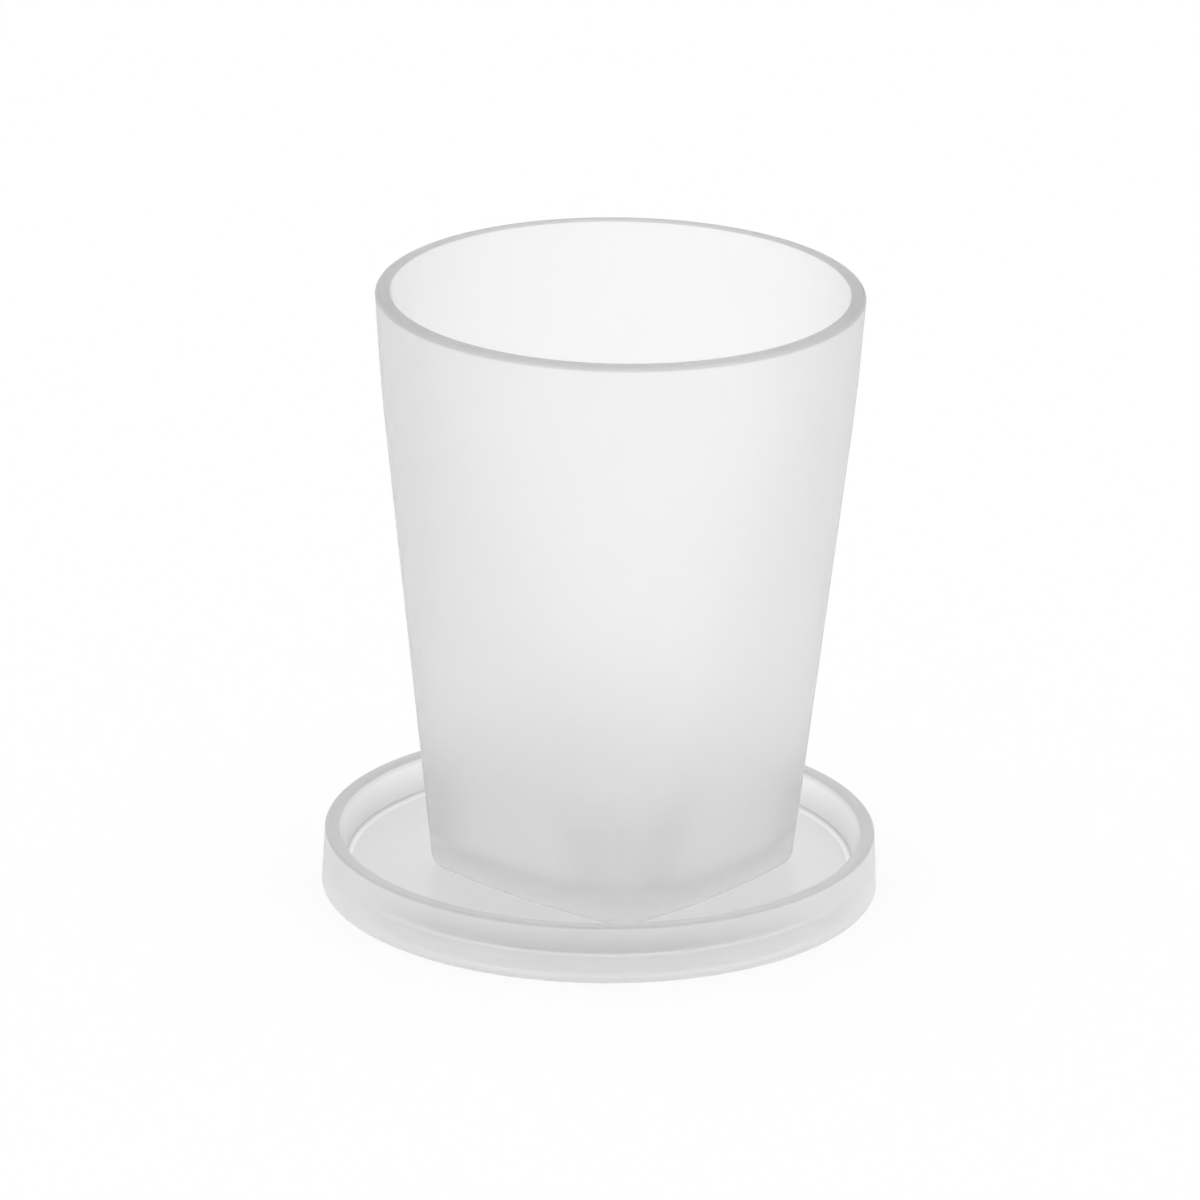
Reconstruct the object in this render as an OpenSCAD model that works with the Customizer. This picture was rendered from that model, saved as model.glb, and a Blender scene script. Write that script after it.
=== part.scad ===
// Bathroom tumbler standing loose on its round saucer, both in thick frosted plastic.
// Millimetres, +Z up. The origin is the middle of the saucer's foot, on the shelf.

/* [Tumbler] */
// Height of the tumbler, from its foot to its rim
tumbler_h = 99.4; // [90:0.1:115]
// Outer diameter of the round mouth
mouth_d = 80; // [74:0.5:84]
// Height of the round collar below the rim
collar_h = 17; // [8:0.5:30]
// How much narrower than the mouth the collar's lower end is, across its diameter
collar_draw = 2.4; // [0:0.1:5]
// Half height of the soft bend between the collar and the flats
bend_reach = 6; // [2:0.5:8]
// Wall at the mouth
mouth_wall = 2.5; // [2:0.1:3.5]
// Wall just above the solid bottom
foot_wall = 2.8; // [2:0.1:4]
// Thickness of the solid bottom
bottom_t = 5.2; // [4:0.1:10]
// Radius of the outer edge of the tumbler's rim
lip_outer_r = 0.9; // [0.3:0.1:1.1]
// Radius of the inner edge of the tumbler's rim
lip_inner_r = 0.25; // [0.1:0.05:0.8]

/* [Square foot] */
// Width of the foot from the middle of one flat to the middle of the opposite one
foot_w = 48.4; // [44:0.1:54]
// Radius of the foot's four upright corners
foot_corner_r = 6.8; // [5:0.1:12]
// How far each flat swells out between its corners, as an angle at its ends
flat_swell = 8; // [4:0.5:12]
// Radius of the edge round the bottom of the foot
foot_edge_r = 1.8; // [0.8:0.1:3]
// Radius between the cavity's wall and its floor
cavity_fillet_r = 1.5; // [1:0.1:3.5]
// Width of the band that the tumbler stands on
foot_band_w = 4; // [3:0.1:6]
// Depth of the hollow inside that band
foot_hollow_h = 0.6; // [0.3:0.1:1.5]

/* [Place on the saucer] */
// How far the loose tumbler stands to the right of the saucer's middle
stand_right = 1.8; // [0:0.1:4]
// How far the loose tumbler stands behind the saucer's middle
stand_back = 1.2; // [0:0.1:4]
// Gap between the tumbler's foot and the saucer's floor
seat_gap = 0.05; // [0.02:0.01:0.2]

/* [Saucer] */
// Outer diameter of the saucer at its bottom edge
saucer_d = 92; // [88:0.5:104]
// Height of the saucer
saucer_h = 9.7; // [8:0.1:14]
// Height of the saucer's floor above the shelf
floor_h = 3.4; // [2.6:0.1:4.5]
// Thickness of the saucer's wall at its rim
rim_wall = 2.6; // [2:0.1:3.5]
// How far the wall's outer face leans in from bottom to top
outer_draw = 0.5; // [0:0.1:1]
// How far the wall's inner face leans out from the floor to the rim
inner_draw = 1.1; // [0.5:0.1:2]
// Radius of the rim's outer edge
rim_outer_r = 0.6; // [0.2:0.1:0.9]
// Radius of the rim's inner edge
rim_inner_r = 1.1; // [0.3:0.1:1.1]
// Radius between the saucer's floor and its wall
floor_fillet_r = 0.8; // [0.4:0.1:2]
// Radius of the bottom edge
bottom_edge_r = 0.4; // [0.2:0.1:0.8]
// Width of the foot ring under the saucer
ring_w = 3.4; // [3:0.1:8]
// Depth of the hollow under the saucer's floor
ring_h = 0.5; // [0.3:0.1:1.2]

/* [Hidden] */
frosted_wall = [0.86, 0.88, 0.88, 0.75];
frosted_dish = [0.80, 0.82, 0.83, 0.85];
// Directions round the tumbler's wall, a multiple of four
wall_steps = 96;
// Steps along each round edge
edge_steps = 5;
// Steps through the bend under the collar
bend_steps = 6;
// Roundness of the saucer
$fn = 180;

foot_z = floor_h + seat_gap;
mouth_r = mouth_d / 2;
neck_z = tumbler_h - collar_h;
neck_r = mouth_r - collar_draw / 2;
collar_slope = (mouth_r - neck_r) / collar_h;

// The foot's outline is four corner arcs joined by four shallow arcs, all in tangent
swell_lean = cos(flat_swell) - sin(flat_swell);
flat_r = (foot_w / 2 - foot_corner_r * swell_lean) / (1 - swell_lean);
corner_place = (flat_r - foot_corner_r) * sin(flat_swell);

// Outward direction of the wall, level, for one of the steps round it
function facing(step) = let(turn = step * 360 / wall_steps) [cos(turn), sin(turn)];

// A point of the foot's outline, found by the direction that the outline faces there
function foot_point(step) =
    let(turn = step * 360 / wall_steps,
        side = floor((turn + 45) / 90),
        lean = turn - side * 90,
        out = [cos(side * 90), sin(side * 90)],
        along = [-out.y, out.x],
        near = abs(lean) <= flat_swell
            ? [foot_w / 2 - flat_r + flat_r * cos(lean), flat_r * sin(lean)]
            : [corner_place + foot_corner_r * cos(lean),
               sign(lean) * corner_place + foot_corner_r * sin(lean)])
    out * near.x + along * near.y;

// Rises smoothly from nothing below the bend to the full height above it
function ramp(rise) = rise <= -bend_reach ? 0
    : rise >= bend_reach ? rise
    : (rise + bend_reach) * (rise + bend_reach) / (4 * bend_reach);

// The outer wall at a height: straight rulings from the foot to the neck, then the collar
function wall_point(step, z) =
    let(foot = foot_point(step),
        ruling = (facing(step) * neck_r - foot) / neck_z)
    foot + ruling * z + (facing(step) * collar_slope - ruling) * ramp(z - neck_z);

function wall_t(z) = foot_wall + (mouth_wall - foot_wall) * z / tumbler_h;

// One level ring of points, set in from the outer wall and then drawn towards the axis
function ring(z, inset, spread) = [for (step = [0 : wall_steps - 1])
    let(p = (wall_point(step, z) - facing(step) * inset) * spread)
    [p.x, p.y, z]];

bend_heights = [for (k = [-bend_steps / 2 : bend_steps / 2]) neck_z + k * 2 * bend_reach / bend_steps];
edge_turns = [for (k = [0 : edge_steps]) k * 90 / edge_steps];

hollow_spread = 1 - foot_band_w / (foot_w / 2 - foot_edge_r);

// Height, inset and spread of every ring, from the hollow under the foot, up the outside,
// over the rim and down the cavity to its floor
function tumbler_rings() = concat(
    [[foot_hollow_h, foot_edge_r, hollow_spread], [0, foot_edge_r, hollow_spread]],
    [for (a = edge_turns) [foot_edge_r * (1 - cos(a)), foot_edge_r * (1 - sin(a)), 1]],
    [for (z = bend_heights) [z, 0, 1]],
    [for (a = edge_turns) [tumbler_h - lip_outer_r * (1 - sin(a)), lip_outer_r * (1 - cos(a)), 1]],
    [for (a = edge_turns)
        [tumbler_h - lip_inner_r * (1 - cos(a)), mouth_wall - lip_inner_r * (1 - sin(a)), 1]],
    [for (k = [len(bend_heights) - 1 : -1 : 0]) [bend_heights[k], wall_t(bend_heights[k]), 1]],
    [for (a = edge_turns) let(z = bottom_t + cavity_fillet_r * (1 - sin(a)))
        [z, wall_t(z) + cavity_fillet_r * (1 - cos(a)), 1]]);

module tumbler() {
    rings = tumbler_rings();
    count = len(rings);
    first = [0, 0, foot_hollow_h];
    last = [0, 0, bottom_t];
    points = concat([first], [for (r = rings) each ring(r[0], r[1], r[2])], [last]);
    function at(level, step) = 1 + level * wall_steps + step % wall_steps;
    foot_faces = [for (step = [0 : wall_steps - 1]) [0, at(0, step), at(0, step + 1)]];
    skin_faces = [for (level = [0 : count - 2]) for (step = [0 : wall_steps - 1])
        each [[at(level, step), at(level + 1, step), at(level + 1, step + 1)],
              [at(level, step), at(level + 1, step + 1), at(level, step + 1)]]];
    floor_faces = [for (step = [0 : wall_steps - 1])
        [at(count - 1, step), len(points) - 1, at(count - 1, step + 1)]];
    color(frosted_wall)
        translate([stand_right, stand_back, foot_z])
            polyhedron(points, concat(foot_faces, skin_faces, floor_faces), convexity = 6);
}

// Points of an arc about a centre, from one direction to another
function arc(centre, r, from, to) = [for (k = [0 : edge_steps])
    let(a = from + (to - from) * k / edge_steps)
    centre + r * [cos(a), sin(a)]];

saucer_r = saucer_d / 2;
rim_r_out = saucer_r - outer_draw;
rim_r_in = rim_r_out - rim_wall;
dish_r = rim_r_in - inner_draw;

// Half of the saucer's section, right of its axis
module saucer_section() {
    polygon(concat(
        [[0, ring_h], [saucer_r - ring_w - ring_h, ring_h], [saucer_r - ring_w, 0]],
        arc([saucer_r - bottom_edge_r, bottom_edge_r], bottom_edge_r, -90, 0),
        arc([rim_r_out - rim_outer_r, saucer_h - rim_outer_r], rim_outer_r, 0, 90),
        arc([rim_r_in + rim_inner_r, saucer_h - rim_inner_r], rim_inner_r, 90, 180),
        arc([dish_r - floor_fillet_r, floor_h + floor_fillet_r], floor_fillet_r, 0, -90),
        [[0, floor_h]]));
}

module saucer() {
    color(frosted_dish)
        rotate_extrude()
            saucer_section();
}

saucer();
tumbler();
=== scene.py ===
import math
import bmesh
import bpy
from mathutils import Matrix, Vector


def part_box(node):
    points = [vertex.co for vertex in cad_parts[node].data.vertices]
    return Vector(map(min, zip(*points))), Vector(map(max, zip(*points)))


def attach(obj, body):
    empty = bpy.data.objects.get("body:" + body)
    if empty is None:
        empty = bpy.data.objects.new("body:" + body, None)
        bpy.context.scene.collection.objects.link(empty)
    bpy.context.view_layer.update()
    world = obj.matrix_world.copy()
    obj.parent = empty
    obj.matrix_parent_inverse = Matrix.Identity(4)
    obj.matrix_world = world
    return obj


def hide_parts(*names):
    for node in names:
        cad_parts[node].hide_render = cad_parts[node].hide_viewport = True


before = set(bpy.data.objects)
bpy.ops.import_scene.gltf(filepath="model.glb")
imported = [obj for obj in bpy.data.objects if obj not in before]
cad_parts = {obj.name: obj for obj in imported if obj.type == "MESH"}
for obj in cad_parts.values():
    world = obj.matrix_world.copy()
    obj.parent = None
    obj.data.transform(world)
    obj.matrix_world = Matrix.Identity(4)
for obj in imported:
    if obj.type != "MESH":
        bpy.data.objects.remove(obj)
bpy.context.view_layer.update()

mm = 0.001
mergeGap = 0.0005     # points of a spun skin closer than this, in millimetres, become one
crispAngle = 50       # edges that turn by more degrees than this stay crisp


def smoothStep(share):
    share = min(max(share, 0), 1)
    return share * share * (3 - 2 * share)


def blend(low, high, share):
    return low + (high - low) * share


def drawLine(bm, places):
    points = [bm.verts.new(place) for place in places]
    for start, end in zip(points, points[1:]):
        bm.edges.new((start, end))
    return points


def roundCorner(bm, point, radius, steps):
    bmesh.ops.bevel(bm, geom=[point], offset=radius, offset_type="OFFSET", segments=steps,
                    profile=0.5, affect="VERTICES", material=-1)


def spinRound(bm, directions):
    # turns a drawn section into a skin, with the two layers that the plastic reads: how frosted each face
    # is, and its painted shade
    bmesh.ops.spin(bm, geom=bm.verts[:] + bm.edges[:], cent=(0, 0, 0), axis=(0, 0, 1),
                   dvec=(0, 0, 0), angle=2 * math.pi, steps=directions, use_merge=True)
    bmesh.ops.remove_doubles(bm, verts=bm.verts, dist=mergeGap)
    return bm.loops.layers.float.new("frost"), bm.loops.layers.float.new("paintedShade")


def drawIn(bm, edges, share, lift):
    # a new ring from an open edge, drawn towards the axis and lifted
    made = bmesh.ops.extrude_edge_only(bm, edges=edges)["geom"]
    verts = [g for g in made if isinstance(g, bmesh.types.BMVert)]
    bmesh.ops.scale(bm, verts=verts, vec=(share, share, 1))
    bmesh.ops.translate(bm, verts=verts, vec=(0, 0, lift))
    ring = set(verts)
    return [e for e in made if isinstance(e, bmesh.types.BMEdge) and set(e.verts) <= ring]


def paintedCreaseShare(shape, rise, start):
    # mask of the painted crease shade: 1 in the crease round a floor, fading out above it
    up = smoothStep((rise - start) / shape["creaseRise"])
    down = smoothStep(1 - (rise - shape["creaseRise"]) / shape["creaseReach"])
    return up * down


def makeObject(name, bm):
    mesh = bpy.data.meshes.new(name)
    bm.to_mesh(mesh)
    bm.free()
    for face in mesh.polygons:
        face.use_smooth = True
    mesh.set_sharp_from_angle(angle=math.radians(crispAngle))
    piece = bpy.data.objects.new(name, mesh)
    bpy.context.scene.collection.objects.link(piece)
    return piece


def standPiece(name, bm, low, high):
    # from millimetres about its own axis to its place in the frame
    bmesh.ops.recalc_face_normals(bm, faces=bm.faces)
    bmesh.ops.scale(bm, verts=bm.verts, vec=(mm, mm, mm))
    place = Vector(((low.x + high.x) / 2, (low.y + high.y) / 2, low.z))
    bmesh.ops.translate(bm, verts=bm.verts, vec=place)
    return makeObject(name, bm)


# The tumbler in millimetres and degrees. Its height, mouth and place come from the frame.
tumblerShape = {
    "collarHeight": 17.0,   # round collar below the rim
    "collarDraw": 1.2,      # how much the collar's radius shrinks downwards
    "bendReach": 6.0,       # half height of the soft bend under the collar
    "mouthWall": 2.5,
    "footWall": 2.8,
    "bottom": 5.2,          # thickness of the solid bottom
    "rimOuterRound": 0.9,
    "rimInnerRound": 0.25,
    "footWidth": 48.4,      # across two opposite flats
    "footCorner": 6.8,      # radius of the upright corners
    "flatSwell": 8.0,       # how far a flat's ends turn away
    "footRound": 1.8,       # edge round the bottom
    "cavityRound": 1.5,     # between the cavity's wall and floor
    "footBand": 4.0,        # width of the band it stands on
    "footHollow": 0.6,      # depth of the hollow inside that band
    # how finely it is made
    "drum": 100.0,          # radius of the plain drum that the wall is first spun round
    "margin": 1.0,          # strip of foot and cavity floor that is spun with the wall
    "directions": 320,      # faces right round
    "wallCuts": 44,         # level cuts from the solid bottom to the rim
    "bandCuts": 5,          # and beside the solid bottom
    "roundSteps": 8,
    "halfway": 0.5,         # where the last ring on the foot and on the cavity's floor lies
    # painted shade on the frosted skin, from 0 (deepest) to 1 (pale): deeper at the rim, round the cavity's
    # floor, on the foot and at its corners
    "wallPaintedShade": 1.0,
    # painted shade on the lower wall, deepest at the solid bottom
    "footPaintedShade": 0.88,
    "footPaintedShadeTop": 38.0,    # height at which the foot's painted shade has faded out
    "creasePaintedShade": 0.5,      # painted shade round the cavity's floor
    "creaseRise": 0.5,      # how high above that floor it is deepest
    "creaseReach": 1.3,     # and over what height above that it fades
    "bandTop": 5.9,         # the solid bottom shows this high, and the band's painted shade is deepest there
    # painted shade of the band round the solid bottom, deepest at its top
    "bandPaintedShade": 0.87,
    "soleTone": 1.0,        # the foot's underside and its edge
    "cornerPaintedShade": 0.25,     # how much deeper the painted shade is at the foot's upright corners
    "cornerFrom": 13.0,     # heights between which that fades out
    "cornerTo": 26.0,
    "cornerSide": 4.0,      # how many degrees beside a corner it fades out
    "cornerLine": 1.4,      # height of the painted shade under the band's top at the corners
    "cornerLift": 1.0,      # how much higher the band's top, with its painted shade, is there
    # painted shade on the rim
    "rimPaintedShade": 0.2,
    "rimPaintedShadeReach": 0.85,   # how far the rim's painted shade comes down
    "rimPaintedShadeFade": 0.3,     # and over what height it fades
}


def footOutline(shape, facing):
    # the point of the foot's outline that faces this way
    swell = math.radians(shape["flatSwell"])
    half = shape["footWidth"] / 2
    corner = shape["footCorner"]
    lean = math.cos(swell) - math.sin(swell)
    flatRound = (half - corner * lean) / (1 - lean)
    cornerPlace = (flatRound - corner) * math.sin(swell)
    side = math.floor(facing / (math.pi / 2) + 0.5) * math.pi / 2
    turn = facing - side
    if abs(turn) <= swell:
        near = Vector((half - flatRound + flatRound * math.cos(turn), flatRound * math.sin(turn)))
    else:
        near = Vector((cornerPlace + corner * math.cos(turn),
                       math.copysign(cornerPlace, turn) + corner * math.sin(turn)))
    return Matrix.Rotation(side, 2) @ near


def wallOutline(shape, facing, level):
    # straight rulings from the foot to the neck, then the collar
    foot = footOutline(shape, facing)
    out = Vector((math.cos(facing), math.sin(facing)))
    neck = shape["height"] - shape["collarHeight"]
    neckRadius = shape["mouthRadius"] - shape["collarDraw"]
    ruling = (out * neckRadius - foot) / neck
    rise = level - neck
    reach = shape["bendReach"]
    if rise <= -reach:
        ramp = 0
    elif rise >= reach:
        ramp = rise
    else:
        ramp = (rise + reach) ** 2 / (4 * reach)
    collar = out * (shape["collarDraw"] / shape["collarHeight"])
    return foot + ruling * level + (collar - ruling) * ramp


def cornerShare(shape, place):
    # 0 on the foot's flats and 1 on its upright corners
    turn = math.degrees(math.atan2(place.y, place.x)) % 90
    beside = abs(turn - 45) - (45 - shape["flatSwell"])
    return smoothStep(1 - beside / shape["cornerSide"])


def spinTumbler(bm, shape):
    # the wall's section, from the foot up the outside, over the rim and down the cavity
    drum = shape["drum"]
    top = shape["height"]
    bottom = shape["bottom"]
    margin = shape["margin"]
    points = drawLine(bm, [
        (drum - shape["footRound"] - margin, 0, 0), (drum, 0, 0), (drum, 0, shape["bandTop"]),
        (drum, 0, top), (drum - shape["mouthWall"], 0, top), (drum - shape["footWall"], 0, bottom),
        (drum - shape["footWall"] - shape["cavityRound"] - margin, 0, bottom)])
    rounds = ("footRound", None, "rimOuterRound", "rimInnerRound", "cavityRound")
    for point, name in zip(points[1:6], rounds):
        if name:
            roundCorner(bm, point, shape[name], shape["roundSteps"])
    walls = [e for e in bm.edges if e.calc_length() > top / 2]
    bands = [e for e in bm.edges if 2 * margin < e.calc_length() < top / 2]
    bmesh.ops.subdivide_edges(bm, edges=walls, cuts=shape["wallCuts"])
    bmesh.ops.subdivide_edges(bm, edges=bands, cuts=shape["bandCuts"])
    return spinRound(bm, shape["directions"])


# painted shade on the tumbler's outside: a dark band over the sole, a deeper foot and corners, a dark rim
def outsidePaintedShade(shape, place, inBand):
    level = place.z
    corner = cornerShare(shape, place)
    if inBand:
        reach = blend(shape["bandTop"], shape["cornerLine"], corner)
        deep = shape["bandPaintedShade"] - shape["cornerPaintedShade"] * corner
        wall = blend(shape["soleTone"], deep, smoothStep(1 - (shape["bandTop"] - level) / reach))
    else:
        fade = smoothStep((level - shape["bottom"]) / (shape["footPaintedShadeTop"] - shape["bottom"]))
        upper = smoothStep((shape["cornerTo"] - level) / (shape["cornerTo"] - shape["cornerFrom"]))
        wall = blend(shape["footPaintedShade"], shape["wallPaintedShade"], fade)
        wall -= shape["cornerPaintedShade"] * corner * upper
    rim = smoothStep((level - shape["height"] + shape["rimPaintedShadeReach"]) / shape["rimPaintedShadeFade"])
    return blend(wall, shape["rimPaintedShade"], rim)


# marks which faces are frosted and paints their shade
def paintShadeTumbler(bm, shape, frost, paintedShade):
    for face in bm.faces:
        middle = face.calc_center_median()
        inset = shape["drum"] - math.hypot(middle.x, middle.y)
        inside = inset > shape["mouthWall"] and middle.z > shape["bottom"] / 2
        inBand = middle.z < shape["bandTop"]
        for loop in face.loops:
            place = loop.vert.co
            if inside:
                crease = paintedCreaseShare(shape, place.z - shape["bottom"], -shape["creaseRise"] / 2)
                loop[frost] = 0.0
                loop[paintedShade] = blend(1.0, shape["creasePaintedShade"], crease)
            else:
                loop[frost] = 1.0
                loop[paintedShade] = outsidePaintedShade(shape, place, inBand)


def shapeTumbler(bm, shape):
    # sets every point in from the real outline as far as it lies in from the drum
    liftTop = 2 * shape["cornerTo"]
    for v in bm.verts:
        facing = math.atan2(v.co.y, v.co.x)
        inset = shape["drum"] - math.hypot(v.co.x, v.co.y)
        if inset < shape["footWall"] / 2 and shape["footRound"] < v.co.z < liftTop:
            # the outer rings rise at the corners, where the band's top is higher
            liftStart = smoothStep((v.co.z - shape["footRound"]) / (shape["bandTop"] - shape["footRound"]))
            liftEnd = smoothStep((liftTop - v.co.z) / shape["cornerTo"])
            v.co.z += shape["cornerLift"] * cornerShare(shape, v.co) * liftStart * liftEnd
        out = Vector((math.cos(facing), math.sin(facing)))
        place = wallOutline(shape, facing, v.co.z) - out * inset
        v.co = (place.x, place.y, v.co.z)


def closeTumbler(bm, shape, frost, paintedShade):
    # the foot's band and the hollow inside it, then the cavity's floor
    margin = shape["margin"]
    middle = shape["bottom"] / 2
    inBand = 1 - (shape["footBand"] - margin) / (shape["footWidth"] / 2 - shape["footRound"] - margin)
    skin = set(bm.faces)
    openEdges = [e for e in bm.edges if e.is_boundary]
    footEdge = [e for e in openEdges if e.verts[0].co.z < middle]
    floorEdge = [e for e in openEdges if e.verts[0].co.z > middle]
    footEdge = drawIn(bm, footEdge, inBand, 0)
    footEdge = drawIn(bm, footEdge, 1, shape["footHollow"])
    footEdge = drawIn(bm, footEdge, shape["halfway"], 0)
    bmesh.ops.edgeloop_fill(bm, edges=footEdge)
    floorEdge = drawIn(bm, floorEdge, shape["halfway"], 0)
    bmesh.ops.edgeloop_fill(bm, edges=floorEdge)
    for face in bm.faces:
        if face not in skin:
            under = face.calc_center_median().z < middle
            for loop in face.loops:
                loop[frost] = 1.0 if under else 0.0
                loop[paintedShade] = shape["soleTone"] if under else 1.0


def makeTumbler(shape):
    low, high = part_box("tumbler")
    shape["height"] = (high.z - low.z) / mm
    shape["mouthRadius"] = (high.x - low.x) / mm / 2
    bm = bmesh.new()
    frost, paintedShade = spinTumbler(bm, shape)
    paintShadeTumbler(bm, shape, frost, paintedShade)
    shapeTumbler(bm, shape)
    closeTumbler(bm, shape, frost, paintedShade)
    return standPiece("frostedTumbler", bm, low, high)


# The saucer in millimetres. Its height and outer radius come from the frame.
saucerShape = {
    "floor": 3.4,           # height of the floor above the shelf
    "rimWall": 2.6,
    "outerDraw": 0.5,       # outer face leans in towards the rim
    "innerDraw": 1.1,       # inner face leans out towards the rim
    "rimOuterRound": 0.6,
    "rimInnerRound": 1.1,
    "floorRound": 0.8,
    "bottomRound": 0.4,
    "footRing": 3.4,        # width of the ring it stands on
    "footHollow": 0.5,      # depth of the hollow inside the ring
    "ringRound": 0.3,
    # how finely it is made
    "directions": 384,
    "floorCuts": 8,         # round cuts across the floor and the underside
    "wallCuts": 16,         # level cuts across the outer wall
    "roundSteps": 8,
    # how frosted its faces are and how pale their painted shade leaves them, from 0 to 1
    "wallFrost": 0.25,      # the outer wall: the underside is fully frosted, the inside smooth
    # painted shade on the outer wall above the floor; the skirt below stays pale
    "wallPaintedShade": 0.88,
    "skirtTone": 1.0,       # the outer wall below the floor
    "skirtFade": 1.4,       # and over what height above the floor that fades
    "underTone": 1.0,       # the underside
    "dishPaintedShade": 0.57,       # painted shade on the smooth floor
    "creasePaintedShade": 0.0,      # painted shade just above that floor, round the inner wall
    "creaseRise": 0.6,      # how high above that floor it is deepest
    "creaseReach": 0.5,     # and over what height above that it fades
    # painted shade on the rim
    "rimPaintedShade": 0.17,
    "rimPaintedShadeReach": 0.6,    # how far the rim's painted shade comes down outside
    "rimPaintedShadeFade": 0.35,    # and over what height it fades there
    "rimReach": 1.2,        # how far it comes down inside, fading all the way
}


# marks which faces are frosted and paints their shade
def paintShadeSaucer(bm, shape, frost, paintedShade):
    flatEdge = shape["dish"] - 2 * shape["floorRound"]  # where the floor's painted shade begins to fade
    for face in bm.faces:
        middle = face.calc_center_median()
        across = math.hypot(middle.x, middle.y)
        inside = middle.z > shape["floor"] / 2 and across < shape["rimIn"]
        under = across < shape["ring"] and not inside
        flat = smoothStep((across - flatEdge) / shape["floorRound"])
        for loop in face.loops:
            rise = loop.vert.co.z - shape["floor"]
            below = loop.vert.co.z - shape["height"]
            if inside:
                wall = blend(shape["dishPaintedShade"], 1.0, flat)
                wall = blend(wall, shape["creasePaintedShade"], paintedCreaseShare(shape, rise, 0))
                rim = smoothStep((below + shape["rimReach"]) / shape["rimReach"])
                loop[frost] = 0.0
                loop[paintedShade] = blend(wall, shape["rimPaintedShade"], rim)
            elif under:
                loop[frost] = 1.0
                loop[paintedShade] = shape["underTone"]
            else:
                wall = blend(shape["skirtTone"], shape["wallPaintedShade"], smoothStep(rise / shape["skirtFade"]))
                rim = smoothStep((below + shape["rimPaintedShadeReach"]) / shape["rimPaintedShadeFade"])
                loop[frost] = shape["wallFrost"]
                loop[paintedShade] = blend(wall, shape["rimPaintedShade"], rim)


def makeSaucer(shape):
    low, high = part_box("saucer")
    radius = (high.x - low.x) / mm / 2
    rimOut = radius - shape["outerDraw"]
    top = shape["height"] = (high.z - low.z) / mm
    rimIn = shape["rimIn"] = rimOut - shape["rimWall"]
    dish = shape["dish"] = rimIn - shape["innerDraw"]
    ring = shape["ring"] = radius - shape["footRing"]
    bm = bmesh.new()
    # half of the section: the floor, up and over the rim, and back along the underside
    points = drawLine(bm, [
        (0, 0, shape["floor"]), (dish, 0, shape["floor"]), (rimIn, 0, top), (rimOut, 0, top),
        (radius, 0, 0), (ring, 0, 0), (ring - shape["footHollow"], 0, shape["footHollow"]),
        (0, 0, shape["footHollow"])])
    rounds = ("floorRound", "rimInnerRound", "rimOuterRound", "bottomRound", "ringRound", "ringRound")
    for point, name in zip(points[1:7], rounds):
        roundCorner(bm, point, shape[name], shape["roundSteps"])
    floors = [e for e in bm.edges if e.calc_length() > radius / 2]
    walls = [e for e in bm.edges if top / 2 < e.calc_length() < radius / 2]
    bmesh.ops.subdivide_edges(bm, edges=floors, cuts=shape["floorCuts"])
    bmesh.ops.subdivide_edges(bm, edges=walls, cuts=shape["wallCuts"])
    frost, paintedShade = spinRound(bm, shape["directions"])
    paintShadeSaucer(bm, shape, frost, paintedShade)
    return standPiece("frostedSaucer", bm, low, high)


def joinMaths(nodes, links, operation, *values):
    # a maths node fed by numbers and by other nodes' outputs
    node = nodes.new("ShaderNodeMath")
    node.operation = operation
    for socket, value in zip(node.inputs, values):
        if isinstance(value, (int, float)):
            socket.default_value = value
        else:
            links.new(value, socket)
    return node.outputs[0]


# The fine detail that both plastics share
frosting = {
    "layers": 2,            # layers of finer and finer noise
    "hairline": 220,        # the higher, the thinner the scuffs
    "patch": 12,            # the higher, the sharper the edges of the scuffed patches
    "polish": 0.6,          # how much a scuff smooths a frosted face
    "scuffShade": 0.3,      # how much a scuff deepens the colour
}


def makeNoise(nodes, links, place, scale):
    noise = nodes.new("ShaderNodeTexNoise")
    noise.inputs["Detail"].default_value = frosting["layers"]
    links.new(place, noise.inputs["Vector"])
    links.new(scale, noise.inputs["Scale"])
    return noise


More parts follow.
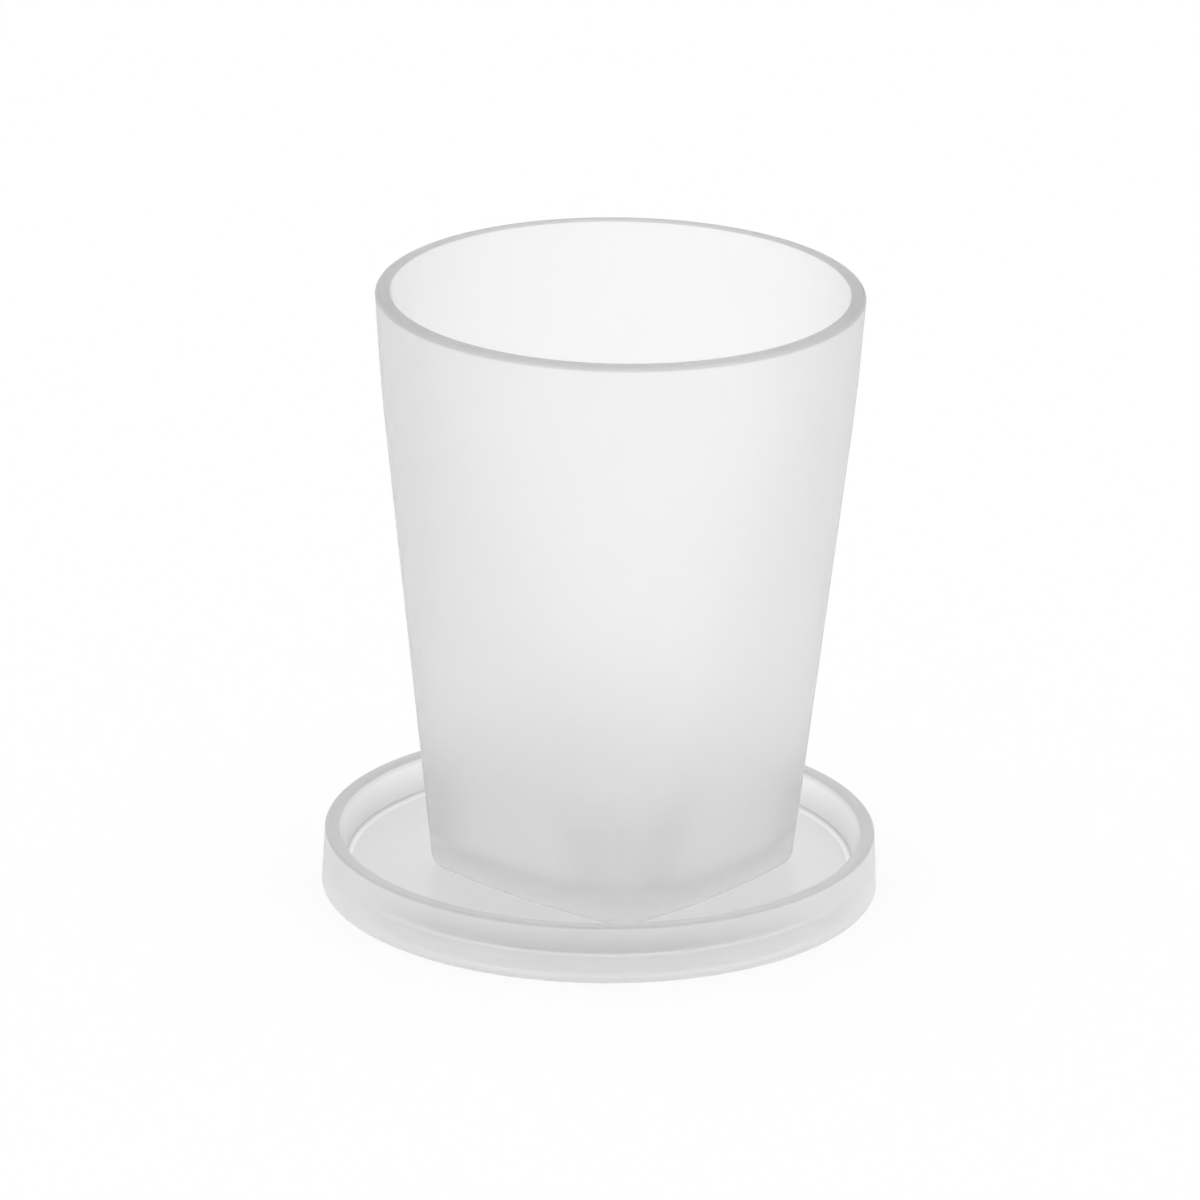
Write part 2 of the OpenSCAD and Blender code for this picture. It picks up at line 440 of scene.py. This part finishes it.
def makeFrostDetail():
    # grain, soft uneven patches and hairline scuffs
    group = bpy.data.node_groups.new("frostDetail", "ShaderNodeTree")
    group.interface.new_socket("Place", in_out="INPUT", socket_type="NodeSocketVector")
    for name in ("Frost", "Grain", "Cloud", "Uneven", "Scuff"):
        group.interface.new_socket(name, in_out="INPUT", socket_type="NodeSocketFloat")
    for name in ("Shade", "Roughness", "Height"):
        group.interface.new_socket(name, in_out="OUTPUT", socket_type="NodeSocketFloat")
    nodes, links = group.nodes, group.links
    given = nodes.new("NodeGroupInput").outputs
    result = nodes.new("NodeGroupOutput").inputs

    def maths(operation, *values):
        return joinMaths(nodes, links, operation, *values)

    grain = makeNoise(nodes, links, given["Place"], given["Grain"])
    cloud = makeNoise(nodes, links, given["Place"], given["Cloud"])
    split = nodes.new("ShaderNodeSeparateColor")
    links.new(cloud.outputs["Color"], split.inputs["Color"])
    clouds = split.outputs
    # hairlines run where one noise crosses its middle, in the patches of another
    crossing = maths("ABSOLUTE", maths("SUBTRACT", clouds["Green"], 0.5))
    hairline = maths("MAXIMUM", maths("MULTIPLY_ADD", crossing, -frosting["hairline"], 1), 0)
    patch = maths("MULTIPLY_ADD", clouds["Blue"], frosting["patch"], -frosting["patch"] / 2)
    patch = maths("MINIMUM", maths("MAXIMUM", patch, 0), 1)
    scuff = maths("MULTIPLY", maths("MULTIPLY", hairline, patch), given["Scuff"])
    uneven = maths("MULTIPLY", maths("SUBTRACT", clouds["Red"], 0.5), given["Uneven"])
    frosted = maths("MULTIPLY", uneven, given["Frost"])
    # a scuff dulls the smooth faces and polishes the frosted ones
    dulling = maths("MULTIPLY_ADD", given["Frost"], -1 - frosting["polish"], 1)
    links.new(maths("ADD", frosted, maths("MULTIPLY", scuff, dulling)), result["Roughness"])
    links.new(maths("MULTIPLY_ADD", scuff, frosting["scuffShade"], uneven), result["Shade"])
    links.new(maths("MULTIPLY", grain.outputs["Fac"], given["Frost"]), result["Height"])
    return group


# The frosted plastic: the tumbler's, then the saucer's
tumblerPlastic = {
    "pale": (1.0, 1.0, 1.0, 1.0),
    # colour of the deepest painted shade
    "deep": (0.5, 0.5, 0.5, 1.0),
    "frostRoughness": 0.52,
    "clearRoughness": 0.29,
    "refraction": 1.49,
    "smoke": 5.5,           # grey absorption per metre
    "grain": 0.5,           # size of the frosting's grain, in millimetres
    "grainDepth": 0.02,     # and its depth
    "cloud": 16.0,          # size of the soft uneven patches
    "uneven": 0.06,         # how much they change the frosting, from 0 to 1
    "scuff": 0.1,           # the same for the hairline scuffs
}
saucerPlastic = {
    "pale": (1.0, 1.0, 1.0, 1.0),
    # colour of the deepest painted shade
    "deep": (0.35, 0.35, 0.35, 1.0),
    "frostRoughness": 0.44,
    "clearRoughness": 0.29,
    "refraction": 1.49,
    "smoke": 1.0,
    "grain": 0.45,
    "grainDepth": 0.015,
    "cloud": 12.0,
    "uneven": 0.06,
    "scuff": 0.15,
}
smokeColour = (0, 0, 0, 1)  # absorbs every colour alike


def makeFrostedPlastic(name, finish, detailGroup):
    material = bpy.data.materials.new(name)
    material.use_nodes = True
    nodes, links = material.node_tree.nodes, material.node_tree.links
    nodes.clear()
    output = nodes.new("ShaderNodeOutputMaterial")
    shader = nodes.new("ShaderNodeBsdfPrincipled")
    shader.inputs["Transmission Weight"].default_value = 1.0
    shader.inputs["IOR"].default_value = finish["refraction"]
    links.new(shader.outputs["BSDF"], output.inputs["Surface"])
    smoke = nodes.new("ShaderNodeVolumeAbsorption")
    smoke.inputs["Color"].default_value = smokeColour
    smoke.inputs["Density"].default_value = finish["smoke"]
    links.new(smoke.outputs["Volume"], output.inputs["Volume"])
    place = nodes.new("ShaderNodeTexCoord")
    frost = nodes.new("ShaderNodeAttribute")
    frost.attribute_name = "frost"
    # painted shade, 1 pale and 0 deepest, written on the pieces' faces
    paintedShade = nodes.new("ShaderNodeAttribute")
    paintedShade.attribute_name = "paintedShade"
    detail = nodes.new("ShaderNodeGroup")
    detail.node_tree = detailGroup
    detail.inputs["Grain"].default_value = 1 / (finish["grain"] * mm)
    detail.inputs["Cloud"].default_value = 1 / (finish["cloud"] * mm)
    detail.inputs["Uneven"].default_value = finish["uneven"]
    detail.inputs["Scuff"].default_value = finish["scuff"]
    links.new(place.outputs["Object"], detail.inputs["Place"])
    links.new(frost.outputs["Fac"], detail.inputs["Frost"])
    rough = nodes.new("ShaderNodeMapRange")
    rough.inputs["To Min"].default_value = finish["clearRoughness"]
    rough.inputs["To Max"].default_value = finish["frostRoughness"]
    links.new(frost.outputs["Fac"], rough.inputs["Value"])
    uneven = joinMaths(nodes, links, "ADD", rough.outputs["Result"], detail.outputs["Roughness"])
    links.new(uneven, shader.inputs["Roughness"])
    # the base colour runs from deep to pale with the painted shade, less the scuffs and uneven patches
    colour = nodes.new("ShaderNodeMix")
    colour.data_type = "RGBA"
    colour.inputs["A"].default_value = finish["deep"]
    colour.inputs["B"].default_value = finish["pale"]
    shade = joinMaths(nodes, links, "SUBTRACT", paintedShade.outputs["Fac"], detail.outputs["Shade"])
    links.new(shade, colour.inputs["Factor"])
    links.new(colour.outputs["Result"], shader.inputs["Base Color"])
    bump = nodes.new("ShaderNodeBump")
    bump.inputs["Distance"].default_value = finish["grainDepth"] * mm
    links.new(detail.outputs["Height"], bump.inputs["Height"])
    links.new(bump.outputs["Normal"], shader.inputs["Normal"])
    return material


# The floor and the light round it, in metres and degrees
studio = {
    "worldLevel": 1.0,
    "worldColour": (1, 1, 1, 1),
    "floorColour": (0.3, 0.3, 0.3, 1.0),
    "floorSize": 8.0,
    "floorGap": 0.00002,    # how far below the saucer's foot the floor lies
    "floorLift": 0.7,       # plain brightness that brings the open floor up to white
    "leftLift": 0.62,       # the same as the plastic sees it, at the dim and the bright side
    "rightLift": 0.75,
    "brightSide": 40.95,    # direction of the bright side, turned from +X
    "sideReach": 0.12,      # how far out both levels are reached
    "bounces": 40,          # light crosses many rough faces in a cup that stands in a dish
}


def makeSideLift(nodes, links):
    # the floor's brightness as the plastic sees it, from side to side
    place = nodes.new("ShaderNodeTexCoord")
    side = nodes.new("ShaderNodeVectorMath")
    side.operation = "DOT_PRODUCT"
    turn = math.radians(studio["brightSide"])
    side.inputs[1].default_value = (math.cos(turn), math.sin(turn), 0)
    links.new(place.outputs["Object"], side.inputs[0])
    lift = nodes.new("ShaderNodeMapRange")
    lift.interpolation_type = "SMOOTHSTEP"
    lift.inputs["From Min"].default_value = -studio["sideReach"]
    lift.inputs["From Max"].default_value = studio["sideReach"]
    lift.inputs["To Min"].default_value = studio["leftLift"]
    lift.inputs["To Max"].default_value = studio["rightLift"]
    links.new(side.outputs["Value"], lift.inputs["Value"])
    return lift.outputs["Result"]


def makeFloor():
    bm = bmesh.new()
    bmesh.ops.create_grid(bm, x_segments=1, y_segments=1, size=studio["floorSize"] / 2)
    bmesh.ops.translate(bm, verts=bm.verts, vec=(0, 0, -studio["floorGap"]))
    floor = makeObject("studioFloor", bm)
    material = bpy.data.materials.new("paleFloor")
    material.use_nodes = True
    nodes, links = material.node_tree.nodes, material.node_tree.links
    nodes.clear()
    output = nodes.new("ShaderNodeOutputMaterial")
    matt = nodes.new("ShaderNodeBsdfDiffuse")
    matt.inputs["Color"].default_value = studio["floorColour"]
    lift = nodes.new("ShaderNodeEmission")
    both = nodes.new("ShaderNodeAddShader")
    # the camera sees one plain level, the plastic the one that changes from side to side
    path = nodes.new("ShaderNodeLightPath").outputs
    seen = joinMaths(nodes, links, "MAXIMUM", path["Is Glossy Ray"], path["Is Transmission Ray"])
    plasticLift = joinMaths(nodes, links, "MULTIPLY", seen, makeSideLift(nodes, links))
    level = joinMaths(nodes, links, "MULTIPLY_ADD", path["Is Camera Ray"], studio["floorLift"], plasticLift)
    links.new(level, lift.inputs["Strength"])
    links.new(matt.outputs[0], both.inputs[0])
    links.new(lift.outputs[0], both.inputs[1])
    links.new(both.outputs[0], output.inputs["Surface"])
    floor.data.materials.append(material)


def makeLight():
    world = bpy.data.worlds.new("studioLight")
    bpy.context.scene.world = world
    world.use_nodes = True
    background = world.node_tree.nodes["Background"]
    background.inputs["Color"].default_value = studio["worldColour"]
    background.inputs["Strength"].default_value = studio["worldLevel"]
    bpy.context.scene.view_settings.view_transform = "Standard"
    cycles = bpy.context.scene.cycles
    cycles.blur_glossy = 0
    cycles.max_bounces = studio["bounces"]
    cycles.transmission_bounces = studio["bounces"]
    cycles.glossy_bounces = studio["bounces"]


# The photograph's camera: lens and sensor in millimetres, other lengths in metres, angles in degrees
photoCamera = {
    "turn": 40.95,
    "elevation": 19.887,
    "roll": 0.825,
    "distance": 1.5567,
    "right": -0.0005,       # where the lens points, from the saucer's foot
    "up": 0.04632,
    "lens": 281.32,
    "sensor": 36.0,
    "farthest": 50,
}


def makeCamera():
    data = bpy.data.cameras.new("photoCamera")
    data.lens = photoCamera["lens"]
    data.sensor_width = photoCamera["sensor"]
    data.clip_end = photoCamera["farthest"]
    camera = bpy.data.objects.new("photoCamera", data)
    bpy.context.scene.collection.objects.link(camera)
    turn = Matrix.Rotation(math.radians(photoCamera["turn"]), 4, "Z")
    tilt = Matrix.Rotation(math.radians(90 - photoCamera["elevation"]), 4, "X")
    roll = Matrix.Rotation(math.radians(photoCamera["roll"]), 4, "Z")
    reach = Matrix.Translation((photoCamera["right"], photoCamera["up"], photoCamera["distance"]))
    camera.matrix_world = turn @ tilt @ reach @ roll
    bpy.context.scene.camera = camera


makeCamera()
print("camera placed")
tumblerPiece = makeTumbler(tumblerShape)
print("tumbler made:", len(tumblerPiece.data.polygons), "faces")
saucerPiece = makeSaucer(saucerShape)
print("saucer made:", len(saucerPiece.data.polygons), "faces")

frostDetail = makeFrostDetail()
tumblerPiece.data.materials.append(makeFrostedPlastic("frostedTumbler", tumblerPlastic, frostDetail))
saucerPiece.data.materials.append(makeFrostedPlastic("frostedSaucer", saucerPlastic, frostDetail))
print("plastics made")
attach(tumblerPiece, "tumbler")
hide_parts("tumbler")
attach(saucerPiece, "saucer")
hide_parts("saucer")

makeFloor()
makeLight()
print("studio made")
